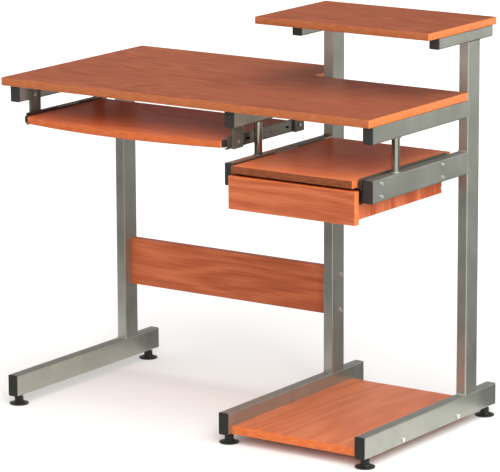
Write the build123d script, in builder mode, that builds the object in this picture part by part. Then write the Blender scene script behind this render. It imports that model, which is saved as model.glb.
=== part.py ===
from build123d import *
import os

# A computer desk: three welded steel-tube end frames on levelling feet, laminated boards, a keyboard tray,
# an accessory shelf and a drawer, each on a pair of ball-bearing slides.
# Millimetres. +X is the user's right, -Y the user's side, +Z up. The floor under the desk's middle is zero.

# ---- Driving dimensions ----
desk_width = 985
desk_depth = 540
foot_length = 555
desk_height = 760
top_shelf_height = 912

tube_width = 25
tube_wall = 1.5
tube_radius = 3
foot_beam_height = 50
desk_beam_height = 38
drawer_beam_height = 50
top_beam_height = 25
post_depth = 50
cap_flange = 2.5
cap_plug_depth = 12
cap_plug_gap = 0.1
cap_chamfer = 0.8
end_plate = 2

desktop_thickness = 18
board_thickness = 16
panel_thickness = 18
edge_radius = 1.2

floor_gap = 22
foot_pad_radius = 22
slide_height = 27
slide_depth = 10
slide_steel = 1.2

# Distances from the desktop's left, right and front edges
left_frame_inset = 16
middle_frame_inset = 380
step_inset = 575
top_shelf_inset = 532
post_setback = 406
beam_setback = 14
top_beam_setback = 280
top_shelf_setback = 238

# ---- Positions worked out from them ----
# The right feet's pads reach past the desktop, so they count in the overall width.
overall_width = desk_width - tube_width / 2 + foot_pad_radius
desk_left = -overall_width / 2
desk_right = desk_left + desk_width
foot_front = -foot_length / 2
foot_back = foot_length / 2
desktop_back = foot_back
desktop_front = desktop_back - desk_depth

frame_x = {
    "left": desk_left + left_frame_inset + tube_width / 2,
    "middle": desk_right - middle_frame_inset + tube_width / 2,
    "right": desk_right - tube_width / 2,
}
knee_left = frame_x["left"] + tube_width / 2
knee_right = frame_x["middle"] - tube_width / 2
bay_left = frame_x["middle"] + tube_width / 2
bay_right = frame_x["right"] - tube_width / 2

foot_beam_top = floor_gap + foot_beam_height
desktop_bottom = desk_height - desktop_thickness
desk_beam_bottom = desktop_bottom - desk_beam_height
top_shelf_bottom = top_shelf_height - board_thickness
post_top = top_shelf_bottom - top_beam_height

post_front = desktop_front + post_setback
post_back = post_front + post_depth
post_y = (post_front + post_back) / 2
beam_front = desktop_front + beam_setback
top_beam_length = 229
top_beam_front = desktop_front + top_beam_setback
top_beam_back = top_beam_front + top_beam_length
drawer_beam_bottom = 577
drawer_beam_top = drawer_beam_bottom + drawer_beam_height

# Boards
step_x = desk_left + step_inset
post_clearance = 2
desktop_short_back = post_front - post_clearance
top_shelf_depth = 289
top_shelf_left = desk_left + top_shelf_inset
top_shelf_front = desktop_front + top_shelf_setback
top_shelf_back = top_shelf_front + top_shelf_depth
panel_offset = 11
panel_y = post_y + panel_offset
panel_bottom = 202.5
panel_height = 112
computer_shelf_depth = 492
computer_shelf_lift = 1
computer_shelf_bottom = floor_gap + computer_shelf_lift

# Keyboard tray and the hangers that carry its slides
hanger_depth = 5
hanger_steel = 2
hanger_width = 37
hanger_bottom = 650
hanger_top = desktop_bottom - 4
hanger_y = (desktop_front + 68, desktop_front + 309)
hanger_screw_z = (desk_beam_bottom + 11, desk_beam_bottom + 26)
tray_left = knee_left + hanger_depth + slide_depth
tray_right = knee_right - hanger_depth - slide_depth
tray_bottom = 656
tray_end_front = desktop_front + 22
tray_bow = 31
tray_corner_radius = 6
tray_back = desktop_front + 308
tray_slide_z = 665
tray_slide_front = desktop_front + 32
tray_slide_length = 300
tray_cage_front = desktop_front + 138
tray_cage_length = 80

# Accessory shelf and drawer, one slide above the other on the drawer beams
shelf_slide_z = 616
drawer_slide_z = 588
bay_slide_front = desktop_front + 10
bay_slide_length = 350
bay_cage_front = desktop_front + 163
bay_cage_length = 86
shelf_bottom = 611
shelf_front = desktop_front - 11
shelf_depth = 400
drawer_left = bay_left + slide_depth
drawer_right = bay_right - slide_depth
drawer_front_y = desktop_front - 12
drawer_front_bottom = 532
drawer_front_height = 73
drawer_front_gap = 2.5
drawer_side_length = 350
drawer_side_bottom = 540
drawer_side_height = 60
drawer_side_thickness = 12
drawer_base_thickness = 4
drawer_base_bottom = 546
drawer_groove = 5

# Fasteners: radii and lengths
bolt_radius = 3
bolt_hole = 3.3
bolt_reach = 30
nut_radius = 5
nut_length = 14
screw_radius = 1.75
screw_hole = 1.8
slide_bolt_radius = 2
slide_bolt_hole = 2.2
board_screw_radius = 2.25
board_screw_hole = 2.5
board_pilot_hole = 2.3
board_pilot_depth = 14
board_bite = 12
fit_gap = 0.1
dowel_radius = 4
dowel_length = 24

# Levelling feet
foot_y = (desktop_front + 8, desktop_front + 513)
stem_radius = 4
stem_fit = 0.05
stem_room = 1
stem_top = 52
insert_height = 10

panel_bolt_z = (214.5, 297.5)
computer_bolt_y = (desktop_front + 142, desktop_front + 373)
computer_bolt_z = computer_shelf_bottom + panel_thickness / 2
slide_bolt_y = (desktop_front + 51, desktop_front + 301)
desktop_screw_y = (beam_front + 46, beam_front + 326)
top_screw_y = (top_beam_front + 40, top_beam_back - 40)

os.makedirs("parts", exist_ok=True)


def finish(builder, node):
    """Label the finished part and write it as one STEP file."""
    builder.part.label = node
    export_step(builder.part, f"parts/{node}.step")


# ---- Steel tubes ----
def beam(node, x, bottom, height, front, back, cross_holes=(), cross_hole_radius=bolt_hole, cross_side=0,
         upright_holes=(), foot_holes=(), back_plate=False):
    """Rectangular tube along Y. Its cross holes go through both side walls, or one if cross_side is +1 or -1."""
    with BuildPart() as tube:
        with BuildSketch(Plane.XZ.offset(-back)):
            with Locations((x, bottom + height / 2)):
                RectangleRounded(tube_width, height, tube_radius)
                RectangleRounded(tube_width - 2 * tube_wall, height - 2 * tube_wall,
                                 tube_radius - tube_wall, mode=Mode.SUBTRACT)
        extrude(amount=back - front)
        if back_plate:
            with BuildSketch(Plane.XZ.offset(-back)):
                with Locations((x, bottom + height / 2)):
                    RectangleRounded(tube_width, height, tube_radius)
            extrude(amount=end_plate)
        if cross_holes:
            with BuildSketch(Plane.YZ.offset(x)):
                with Locations(*cross_holes):
                    Circle(cross_hole_radius)
            extrude(amount=tube_width * (cross_side or 1), both=cross_side == 0, mode=Mode.SUBTRACT)
        if upright_holes:
            with BuildSketch(Plane.XY.offset(bottom)):
                with Locations(*[(x, y) for y in upright_holes]):
                    Circle(board_screw_hole)
            extrude(amount=height, mode=Mode.SUBTRACT)
        if foot_holes:
            with BuildSketch(Plane.XY.offset(bottom)):
                with Locations(*[(x, y) for y in foot_holes]):
                    Circle(stem_radius + stem_room)
            extrude(amount=tube_wall, mode=Mode.SUBTRACT)
    finish(tube, node)


def post(node, x, top, cross_holes=()):
    """Rectangular tube that stands on a foot beam."""
    with BuildPart() as tube:
        with BuildSketch(Plane.XY.offset(foot_beam_top)):
            with Locations((x, post_y)):
                RectangleRounded(tube_width, post_depth, tube_radius)
                RectangleRounded(tube_width - 2 * tube_wall, post_depth - 2 * tube_wall,
                                 tube_radius - tube_wall, mode=Mode.SUBTRACT)
        extrude(amount=top - foot_beam_top)
        if cross_holes:
            with BuildSketch(Plane.YZ.offset(x)):
                with Locations(*cross_holes):
                    Circle(bolt_hole)
            extrude(amount=tube_width, both=True, mode=Mode.SUBTRACT)
    finish(tube, node)


panel_bolts = [(panel_y, z) for z in panel_bolt_z]
computer_bolts = [(y, computer_bolt_z) for y in computer_bolt_y]
slide_bolts = [(y, z) for y in slide_bolt_y for z in (shelf_slide_z, drawer_slide_z)]
hanger_screws = [(y, z) for y in hanger_y for z in hanger_screw_z]

beam("left_foot_beam", frame_x["left"], floor_gap, foot_beam_height,
     foot_front + cap_flange, foot_back - cap_flange, foot_holes=foot_y)
for side in ("middle", "right"):
    beam(f"{side}_foot_beam", frame_x[side], floor_gap, foot_beam_height,
         foot_front + cap_flange, foot_back - cap_flange, cross_holes=computer_bolts, foot_holes=foot_y)
    beam(f"{side}_drawer_beam", frame_x[side], drawer_beam_bottom, drawer_beam_height,
         beam_front + cap_flange, post_front, cross_holes=slide_bolts, cross_hole_radius=slide_bolt_hole)
    beam(f"{side}_top_beam", frame_x[side], post_top, top_beam_height,
         top_beam_front + cap_flange, top_beam_back - cap_flange, upright_holes=top_screw_y)
for side, holes, hole_side in (("left", hanger_screws, 1), ("middle", hanger_screws, -1), ("right", (), 0)):
    beam(f"{side}_desk_beam", frame_x[side], desk_beam_bottom, desk_beam_height,
         beam_front + cap_flange, post_front, cross_holes=holes, cross_hole_radius=slide_bolt_hole,
         cross_side=hole_side, upright_holes=desktop_screw_y, back_plate=True)

post("left_post", frame_x["left"], desktop_bottom, cross_holes=panel_bolts)
post("middle_post", frame_x["middle"], post_top, cross_holes=panel_bolts)
post("right_post", frame_x["right"], post_top)

# Round struts that tie each drawer beam to the desk beam above it.
strut_radius = 9
strut_y = desktop_front + 126
with BuildPart() as struts:
    with BuildSketch(Plane.XY.offset(drawer_beam_top)):
        with Locations((frame_x["middle"], strut_y), (frame_x["right"], strut_y)):
            Circle(strut_radius)
            Circle(strut_radius - tube_wall, mode=Mode.SUBTRACT)
    extrude(amount=desk_beam_bottom - drawer_beam_top)
finish(struts, "struts")


# ---- Plastic end caps ----
def caps(node, height, places):
    """Caps pushed into tube ends. Each place is (x, bottom, tube end's y, outward direction along Y)."""
    with BuildPart() as group:
        for x, bottom, end, outward in places:
            face = Plane((x, end, bottom + height / 2), x_dir=(1, 0, 0), z_dir=(0, outward, 0))
            with BuildSketch(face):
                RectangleRounded(tube_width, height, tube_radius)
            extrude(amount=cap_flange)
            plug_width = tube_width - 2 * tube_wall - 2 * cap_plug_gap
            plug_height = height - 2 * tube_wall - 2 * cap_plug_gap
            with BuildSketch(face):
                RectangleRounded(plug_width, plug_height, tube_radius - tube_wall)
            extrude(amount=-cap_plug_depth)
        outer_faces = [f for f in group.faces().filter_by(Axis.Y)
                       if any(abs(f.center().Y - (end + outward * cap_flange)) < 0.01
                              for _, _, end, outward in places)]
        chamfer([edge for f in outer_faces for edge in f.edges()], length=cap_chamfer)
    finish(group, node)


caps("large_end_caps", foot_beam_height,
     [(x, floor_gap, foot_front + cap_flange, -1) for x in frame_x.values()]
     + [(x, floor_gap, foot_back - cap_flange, 1) for x in frame_x.values()]
     + [(frame_x[side], drawer_beam_bottom, beam_front + cap_flange, -1) for side in ("middle", "right")])
caps("desk_beam_caps", desk_beam_height,
     [(x, desk_beam_bottom, beam_front + cap_flange, -1) for x in frame_x.values()])
caps("top_beam_caps", top_beam_height,
     [(frame_x[side], post_top, top_beam_front + cap_flange, -1) for side in ("middle", "right")]
     + [(frame_x[side], post_top, top_beam_back - cap_flange, 1) for side in ("middle", "right")])

# ---- Levelling feet and the threaded inserts that hold them ----
boss_radius = 10
neck_radius = 6
boss_bottom = 8
boss_top = 18
notch_count = 12
notch_radius = 1.4


def levelling_foot(node, x, y):
    """A flared pad, a notched boss to turn it by, a neck that stops on the beam, and a stem."""
    with BuildPart() as foot:
        with BuildSketch(Plane((x, y, 0), x_dir=(1, 0, 0), z_dir=(0, -1, 0))):
            with BuildLine():
                Polyline((0, 0), (foot_pad_radius - 1, 0), (foot_pad_radius, 1), (foot_pad_radius, 3))
                ThreePointArc((foot_pad_radius, 3), (boss_radius + 5, 5), (boss_radius + 1, boss_bottom))
                Polyline((boss_radius + 1, boss_bottom), (boss_radius, boss_bottom), (boss_radius, boss_top),
                         (neck_radius, boss_top), (neck_radius, floor_gap), (stem_radius, floor_gap),
                         (stem_radius, stem_top), (0, stem_top), (0, 0))
            make_face()
        revolve(axis=Axis((x, y, 0), (0, 0, 1)))
        with BuildSketch(Plane.XY.offset(boss_bottom)):
            with Locations((x, y)):
                with PolarLocations(boss_radius, notch_count):
                    Circle(notch_radius)
        extrude(amount=boss_top - boss_bottom, mode=Mode.SUBTRACT)
    finish(foot, node)


for side, x in frame_x.items():
    levelling_foot(f"{side}_front_foot", x, foot_y[0])
    levelling_foot(f"{side}_back_foot", x, foot_y[1])

insert_radius = 8
with BuildPart() as foot_inserts:
    with BuildSketch(Plane.XY.offset(floor_gap + tube_wall)):
        with Locations(*[(x, y) for x in frame_x.values() for y in foot_y]):
            RegularPolygon(insert_radius, 6)
            Circle(stem_radius + stem_fit, mode=Mode.SUBTRACT)
    extrude(amount=insert_height)
finish(foot_inserts, "foot_inserts")

# ---- Boards ----
corner_radius = 4
step_radius = 25

with BuildPart() as desktop:
    with BuildSketch(Plane.XY.offset(desktop_bottom)) as outline:
        with BuildLine():
            Polyline((desk_left, desktop_front), (desk_right, desktop_front), (desk_right, desktop_short_back),
                     (step_x, desktop_short_back), (step_x, desktop_back), (desk_left, desktop_back),
                     (desk_left, desktop_front))
        make_face()
        inner_corner = outline.vertices().sort_by_distance((step_x, desktop_short_back))[0]
        fillet(inner_corner, radius=step_radius)
        outer_corners = [outline.vertices().sort_by_distance(corner)[0]
                         for corner in ((desk_left, desktop_front), (desk_right, desktop_front),
                                        (desk_left, desktop_back), (step_x, desktop_back))]
        fillet(outer_corners, radius=corner_radius)
    extrude(amount=desktop_thickness)
    fillet(desktop.faces().sort_by(Axis.Z)[-1].edges(), radius=edge_radius)
    fillet(desktop.faces().sort_by(Axis.Z)[0].edges(), radius=edge_radius)
    with BuildSketch(Plane.XY.offset(desktop_bottom)):
        with Locations(*[(x, y) for x in frame_x.values() for y in desktop_screw_y]):
            Circle(board_pilot_hole)
    extrude(amount=board_pilot_depth, mode=Mode.SUBTRACT)
finish(desktop, "desktop")

with BuildPart() as top_shelf:
    with BuildSketch(Plane.XY.offset(top_shelf_bottom)):
        with Locations(((top_shelf_left + desk_right) / 2, (top_shelf_front + top_shelf_back) / 2)):
            RectangleRounded(desk_right - top_shelf_left, top_shelf_back - top_shelf_front, corner_radius)
    extrude(amount=board_thickness)
    fillet(top_shelf.faces().sort_by(Axis.Z)[-1].edges(), radius=edge_radius)
    fillet(top_shelf.faces().sort_by(Axis.Z)[0].edges(), radius=edge_radius)
    with BuildSketch(Plane.XY.offset(top_shelf_bottom)):
        with Locations(*[(frame_x[side], y) for side in ("middle", "right") for y in top_screw_y]):
            Circle(board_pilot_hole)
    extrude(amount=board_pilot_depth, mode=Mode.SUBTRACT)
finish(top_shelf, "top_shelf")


def bolted_board(node, left, right, front, back, bottom, top, bolt_points, nut_plane, nut_axis):
    """Board held end on by bolts into barrel nuts. Bolts run along X at (y, z) points."""
    with BuildPart() as board:
        with BuildSketch(Plane.XY.offset(bottom)):
            with Locations(((left + right) / 2, (front + back) / 2)):
                Rectangle(right - left, back - front)
        extrude(amount=top - bottom)
        fillet(board.edges().filter_by(Axis.X), radius=edge_radius)
        for face, inward in ((left, 1), (right, -1)):
            with BuildSketch(Plane((face, 0, 0), x_dir=(0, 1, 0), z_dir=(1, 0, 0))):
                with Locations(*bolt_points):
                    Circle(bolt_hole)
            extrude(amount=inward * (bolt_reach + nut_radius), mode=Mode.SUBTRACT)
            with BuildSketch(nut_plane):
                with Locations(*[nut_axis(face + inward * bolt_reach, point) for point in bolt_points]):
                    Circle(nut_radius + fit_gap)
            extrude(amount=-nut_length, mode=Mode.SUBTRACT)
    finish(board, node)


panel_back = panel_y + panel_thickness / 2
bolted_board("modesty_panel", knee_left, knee_right, panel_y - panel_thickness / 2, panel_back,
             panel_bottom, panel_bottom + panel_height, panel_bolts,
             Plane((0, panel_back, 0), x_dir=(1, 0, 0), z_dir=(0, 1, 0)),
             lambda x, point: (x, -point[1]))
bolted_board("computer_shelf", bay_left, bay_right, desktop_front, desktop_front + computer_shelf_depth,
             computer_shelf_bottom, computer_shelf_bottom + panel_thickness, computer_bolts,
             Plane((0, 0, computer_shelf_bottom), x_dir=(1, 0, 0), z_dir=(0, 0, -1)),
             lambda x, point: (x, -point[0]))

tray_screw_y = (tray_slide_front + 20, tray_slide_front + 120, tray_slide_front + 250)
bay_screw_y = (bay_slide_front + 30, bay_slide_front + 170, bay_slide_front + 310)
tray_screw_reach = 14
drawer_screw_reach = 10

with BuildPart() as keyboard_tray:
    with BuildSketch(Plane.XY.offset(tray_bottom)) as outline:
        with BuildLine():
            tray_middle = (tray_left + tray_right) / 2
            ThreePointArc((tray_left, tray_end_front), (tray_middle, tray_end_front - tray_bow),
                          (tray_right, tray_end_front))
            Polyline((tray_right, tray_end_front), (tray_right, tray_back), (tray_left, tray_back),
                     (tray_left, tray_end_front))
        make_face()
        fillet(outline.vertices().group_by(Axis.Y)[0], radius=tray_corner_radius)
    extrude(amount=board_thickness)
    fillet(keyboard_tray.faces().sort_by(Axis.Z)[-1].edges(), radius=edge_radius)
    fillet(keyboard_tray.faces().sort_by(Axis.Z)[0].edges(), radius=edge_radius)
    for face, inward in ((tray_left, 1), (tray_right, -1)):
        with BuildSketch(Plane((face, 0, 0), x_dir=(0, 1, 0), z_dir=(1, 0, 0))):
            with Locations(*[(y, tray_slide_z) for y in tray_screw_y]):
                Circle(screw_hole)
        extrude(amount=inward * (tray_screw_reach + 1), mode=Mode.SUBTRACT)
finish(keyboard_tray, "keyboard_tray")

with BuildPart() as accessory_shelf:
    with BuildSketch(Plane.XY.offset(shelf_bottom)):
        with Locations(((drawer_left + drawer_right) / 2, shelf_front + shelf_depth / 2)):
            Rectangle(drawer_right - drawer_left, shelf_depth)
    extrude(amount=board_thickness)
    fillet(accessory_shelf.edges().filter_by(Axis.X), radius=edge_radius)
    for face, inward in ((drawer_left, 1), (drawer_right, -1)):
        with BuildSketch(Plane((face, 0, 0), x_dir=(0, 1, 0), z_dir=(1, 0, 0))):
            with Locations(*[(y, shelf_slide_z) for y in bay_screw_y]):
                Circle(screw_hole)
        extrude(amount=inward * (tray_screw_reach + 1), mode=Mode.SUBTRACT)
finish(accessory_shelf, "accessory_shelf")

# ---- Drawer box: the base sits in grooves on all four sides ----
side_front = drawer_front_y + board_thickness
side_back = side_front + drawer_side_length
drawer_back_front = side_back - drawer_side_thickness
inner_left = drawer_left + drawer_side_thickness
inner_right = drawer_right - drawer_side_thickness
dowel_z = (drawer_side_bottom + 16, drawer_side_bottom + 44)
corner_screw_z = (drawer_side_bottom + 12, drawer_side_bottom + 30)
corner_screw_length = 28
corner_pilot_depth = 20
side_rounding = 2
side_middles = (drawer_left + drawer_side_thickness / 2, drawer_right - drawer_side_thickness / 2)


def drawer_groove_cut(left, right, front, back):
    """Cut the base panel's room out of the board being built."""
    with BuildSketch(Plane.XY.offset(drawer_base_bottom)) as slot:
        with Locations(((left + right) / 2, (front + back) / 2)):
            Rectangle(right - left, back - front)
    extrude(slot.sketch, amount=drawer_base_thickness, mode=Mode.SUBTRACT)


base_left = inner_left - drawer_groove
base_right = inner_right + drawer_groove
base_front = side_front - drawer_groove
base_back = drawer_back_front + drawer_groove

with BuildPart() as drawer_front:
    with BuildSketch(Plane.XZ.offset(-side_front)):
        with Locations(((bay_left + bay_right) / 2, drawer_front_bottom + drawer_front_height / 2)):
            Rectangle(bay_right - bay_left - 2 * drawer_front_gap, drawer_front_height)
    extrude(amount=board_thickness)
    fillet(drawer_front.faces().sort_by(Axis.Y)[0].edges(), radius=edge_radius)
    drawer_groove_cut(base_left, base_right, base_front, side_front)
    with BuildSketch(Plane.XZ.offset(-side_front)):
        with Locations(*[(x, z) for x in side_middles for z in dowel_z]):
            Circle(dowel_radius)
    extrude(amount=dowel_length / 2, mode=Mode.SUBTRACT)
finish(drawer_front, "drawer_front")


def drawer_side(node, outer, inward):
    """One side board of the drawer. Inward is +1 on the left side and -1 on the right."""
    with BuildPart() as board:
        with BuildSketch(Plane((outer, 0, 0), x_dir=(0, 1, 0), z_dir=(1, 0, 0))):
            with Locations(((side_front + side_back) / 2, drawer_side_bottom + drawer_side_height / 2)):
                Rectangle(drawer_side_length, drawer_side_height)
        extrude(amount=inward * drawer_side_thickness)
        fillet(board.edges().filter_by(Axis.Y).group_by(Axis.Z)[-1], radius=side_rounding)
        inner = outer + inward * drawer_side_thickness
        groove_end = inner - inward * drawer_groove
        drawer_groove_cut(min(inner, groove_end), max(inner, groove_end), side_front, base_back)
        with BuildSketch(Plane((outer, 0, 0), x_dir=(0, 1, 0), z_dir=(1, 0, 0))):
            with Locations(*[(y, drawer_slide_z) for y in bay_screw_y]):
                Circle(screw_hole)
            with Locations(*[(side_back - drawer_side_thickness / 2, z) for z in corner_screw_z]):
                Circle(screw_hole)
        extrude(amount=inward * drawer_side_thickness, mode=Mode.SUBTRACT)
        with BuildSketch(Plane.XZ.offset(-side_front)):
            with Locations(*[((outer + inner) / 2, z) for z in dowel_z]):
                Circle(dowel_radius)
        extrude(amount=-dowel_length / 2, mode=Mode.SUBTRACT)
    finish(board, node)


drawer_side("drawer_left_side", drawer_left, 1)
drawer_side("drawer_right_side", drawer_right, -1)

with BuildPart() as drawer_back:
    with BuildSketch(Plane.XZ.offset(-side_back)):
        with Locations(((inner_left + inner_right) / 2, drawer_side_bottom + drawer_side_height / 2)):
            Rectangle(inner_right - inner_left, drawer_side_height)
    extrude(amount=drawer_side_thickness)
    drawer_groove_cut(inner_left, inner_right, drawer_back_front, base_back)
    for face, inward in ((inner_left, 1), (inner_right, -1)):
        with BuildSketch(Plane((face, 0, 0), x_dir=(0, 1, 0), z_dir=(1, 0, 0))):
            with Locations(*[(side_back - drawer_side_thickness / 2, z) for z in corner_screw_z]):
                Circle(screw_hole)
        extrude(amount=inward * corner_pilot_depth, mode=Mode.SUBTRACT)
finish(drawer_back, "drawer_back")

with BuildPart() as drawer_base:
    with BuildSketch(Plane.XY.offset(drawer_base_bottom)):
        with Locations(((base_left + base_right) / 2, (base_front + base_back) / 2)):
            Rectangle(base_right - base_left, base_back - base_front)
    extrude(amount=drawer_base_thickness)
finish(drawer_base, "drawer_base")

with BuildPart() as drawer_dowels:
    with BuildSketch(Plane.XZ.offset(-side_front - dowel_length / 2)):
        with Locations(*[(x, z) for x in side_middles for z in dowel_z]):
            Circle(dowel_radius)
    extrude(amount=dowel_length)
finish(drawer_dowels, "drawer_dowels")

# ---- Ball-bearing slides ----
# In section, s runs from the fixed face to the moving board and t is the height over the slide's middle.
ball_radius = 1.9
ball_s = 4.6
ball_t = 10.1
ball_pitch = 11
cage_steel = 0.8
half = slide_height / 2
lip = 0.9
outer_depth = 7.6
slot_length = 14
slot_width = 4.6
slot_places = (0.27, 0.78)
round_hole_place = 0.56
slide_rounding = 0.8
inner_flange_end = 3.2
cage_web = 1.7
cage_end_gap = 0.6
race_gap = 0.3
inner_half = ball_t - ball_radius - race_gap


def slide_outer(node, face, inward, z, front, length, hole_y):
    """Outer member: a channel whose lipped flanges are the ball races."""
    race = half - slide_steel
    outline = [(0, -half), (outer_depth, -half), (outer_depth, -race + lip),
               (outer_depth - slide_steel, -race + lip), (outer_depth - slide_steel, -race),
               (slide_steel, -race), (slide_steel, race), (outer_depth - slide_steel, race),
               (outer_depth - slide_steel, race - lip), (outer_depth, race - lip), (outer_depth, half), (0, half)]
    with BuildPart() as member:
        with BuildSketch(Plane.XZ.offset(-front - length)):
            with BuildLine():
                Polyline(*[(face + inward * s, z + t) for s, t in outline], close=True)
            make_face()
        extrude(amount=length)
        corners = [edge for edge in member.edges().filter_by(Axis.Y)
                   if abs(abs(edge.center().Z - z) - half) < 0.01]
        fillet(corners, radius=slide_rounding)
        with BuildSketch(Plane((face, 0, 0), x_dir=(0, 1, 0), z_dir=(1, 0, 0))):
            with Locations(*[(y, z) for y in hole_y]):
                Circle(slide_bolt_hole)
            with Locations((front + round_hole_place * length, z)):
                Circle(slot_width / 2)
            with Locations(*[(front + place * length, z) for place in slot_places]):
                SlotOverall(slot_length, slot_width)
        extrude(amount=inward * slide_steel, mode=Mode.SUBTRACT)
    finish(member, node)


def slide_inner(node, face, inward, z, front, length, hole_y):
    """Inner member: a smaller channel, screwed to the moving board's edge."""
    web = slide_depth - slide_steel
    outline = [(slide_depth, -inner_half), (slide_depth, inner_half), (inner_flange_end, inner_half),
               (inner_flange_end, inner_half - slide_steel), (web, inner_half - slide_steel),
               (web, slide_steel - inner_half), (inner_flange_end, slide_steel - inner_half),
               (inner_flange_end, -inner_half)]
    with BuildPart() as member:
        with BuildSketch(Plane.XZ.offset(-front - length)):
            with BuildLine():
                Polyline(*[(face + inward * s, z + t) for s, t in outline], close=True)
            make_face()
        extrude(amount=length)
        with BuildSketch(Plane((face + inward * web, 0, 0), x_dir=(0, 1, 0), z_dir=(1, 0, 0))):
            with Locations(*[(y, z) for y in hole_y]):
                Circle(screw_hole)
        extrude(amount=inward * slide_steel, mode=Mode.SUBTRACT)
    finish(member, node)


def ball_cages(node, faces, z, front, length):
    """Both cages of a pair of slides, with their balls. Faces are (fixed face's x, inward direction)."""
    reach = slide_depth - cage_end_gap
    edge = ball_t + cage_steel / 2
    outline = [(cage_web, -edge), (reach, -edge), (reach, cage_steel - edge),
               (cage_web + cage_steel, cage_steel - edge), (cage_web + cage_steel, edge - cage_steel),
               (reach, edge - cage_steel), (reach, edge), (cage_web, edge)]
    ball_count = int((length - 2 * ball_radius) / ball_pitch) + 1
    first_ball = front + (length - (ball_count - 1) * ball_pitch) / 2
    balls = [(face + inward * ball_s, first_ball + i * ball_pitch, z + t)
             for face, inward in faces for i in range(ball_count) for t in (-ball_t, ball_t)]
    with BuildPart() as group:
        for face, inward in faces:
            with BuildSketch(Plane.XZ.offset(-front - length)):
                with BuildLine():
                    Polyline(*[(face + inward * s, z + t) for s, t in outline], close=True)
                make_face()
            extrude(amount=length)
        with Locations(*balls):
            Cylinder(ball_radius + fit_gap / 2, 2 * cage_steel, mode=Mode.SUBTRACT)
        with Locations(*balls):
            Sphere(ball_radius)
    finish(group, node)


tray_faces = ((knee_left + hanger_depth, 1), (knee_right - hanger_depth, -1))
bay_faces = ((bay_left, 1), (bay_right, -1))
tray_inner_lead = 8
slide_pairs = (
    ("tray", tray_faces, tray_slide_z, tray_slide_front, tray_slide_length, hanger_y, tray_screw_y,
     tray_inner_lead),
    ("shelf", bay_faces, shelf_slide_z, bay_slide_front, bay_slide_length, slide_bolt_y, bay_screw_y, 0),
    ("drawer", bay_faces, drawer_slide_z, bay_slide_front, bay_slide_length, slide_bolt_y, bay_screw_y, 0),
)
for name, faces, z, front, length, outer_holes, inner_holes, lead in slide_pairs:
    for side, (face, inward) in zip(("left", "right"), faces):
        slide_outer(f"{name}_{side}_outer_slide", face, inward, z, front, length, outer_holes)
        slide_inner(f"{name}_{side}_inner_slide", face, inward, z, front - lead, length, inner_holes)

ball_cages("tray_ball_cages", tray_faces, tray_slide_z, tray_cage_front, tray_cage_length)
ball_cages("shelf_ball_cages", bay_faces, shelf_slide_z, bay_cage_front, bay_cage_length)
ball_cages("drawer_ball_cages", bay_faces, drawer_slide_z, bay_cage_front, bay_cage_length)

# ---- Hangers that carry the keyboard tray's slides ----
with BuildPart() as tray_hangers:
    for face, inward in ((knee_left, 1), (knee_right, -1)):
        for y in hanger_y:
            with BuildSketch(Plane.XY.offset(hanger_bottom)):
                with Locations((face + inward * hanger_depth / 2, y)):
                    Rectangle(hanger_depth, hanger_width)
                with Locations((face + inward * (hanger_depth + hanger_steel) / 2, y)):
                    Rectangle(hanger_depth - hanger_steel, hanger_width - 2 * hanger_steel, mode=Mode.SUBTRACT)
            extrude(amount=hanger_top - hanger_bottom)
    for y in hanger_y:
        with BuildSketch(Plane.YZ.offset(knee_left)):
            with Locations(*[(y, z) for z in (*hanger_screw_z, tray_slide_z)]):
                Circle(slide_bolt_hole)
        extrude(amount=knee_right - knee_left, mode=Mode.SUBTRACT)
finish(tray_hangers, "tray_hangers")


# ---- Fasteners ----
socket_share = 0.6


def fasteners(node, places, head_radius, head_height, shank_radius, socket_radius):
    """Headed screws or bolts. Each place is (plane under the head, facing outwards; shank length)."""
    with BuildPart() as group:
        for under_head, length in places:
            with BuildSketch(under_head):
                Circle(head_radius)
            extrude(amount=head_height)
            with BuildSketch(under_head):
                Circle(shank_radius)
            extrude(amount=-length)
            with BuildSketch(under_head.offset(head_height)):
                RegularPolygon(socket_radius, 6)
            extrude(amount=-head_height * socket_share, mode=Mode.SUBTRACT)
    finish(group, node)


def facing_x(x, y, z, direction):
    """Plane at a point whose normal runs along +X or -X."""
    return Plane((x, y, z), x_dir=(0, 1, 0), z_dir=(direction, 0, 0))


def facing_down(x, y, z):
    """Plane at a point whose normal runs along -Z."""
    return Plane((x, y, z), x_dir=(1, 0, 0), z_dir=(0, 0, -1))


bolt_length = tube_width + bolt_reach + nut_radius
fasteners("board_bolts",
          [(facing_x(frame_x["left"] - tube_width / 2, y, z, -1), bolt_length) for y, z in panel_bolts]
          + [(facing_x(frame_x["middle"] + tube_width / 2, y, z, 1), bolt_length) for y, z in panel_bolts]
          + [(facing_x(frame_x["middle"] - tube_width / 2, y, z, -1), bolt_length) for y, z in computer_bolts]
          + [(facing_x(frame_x["right"] + tube_width / 2, y, z, 1), bolt_length) for y, z in computer_bolts],
          head_radius=5.5, head_height=3, shank_radius=bolt_radius, socket_radius=2.3)

slide_bolt_length = tube_width + slide_steel
fasteners("slide_bolts",
          [(facing_x(frame_x["middle"] - tube_width / 2, y, z, -1), slide_bolt_length) for y, z in slide_bolts]
          + [(facing_x(frame_x["right"] + tube_width / 2, y, z, 1), slide_bolt_length) for y, z in slide_bolts],
          head_radius=4.2, head_height=2.4, shank_radius=slide_bolt_radius, socket_radius=1.8)

fasteners("board_screws",
          [(facing_down(x, y, desk_beam_bottom), desk_beam_height + board_bite)
           for x in frame_x.values() for y in desktop_screw_y]
          + [(facing_down(frame_x[side], y, post_top), top_beam_height + board_bite)
             for side in ("middle", "right") for y in top_screw_y],
          head_radius=4.5, head_height=2.5, shank_radius=board_screw_radius, socket_radius=2)

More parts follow.
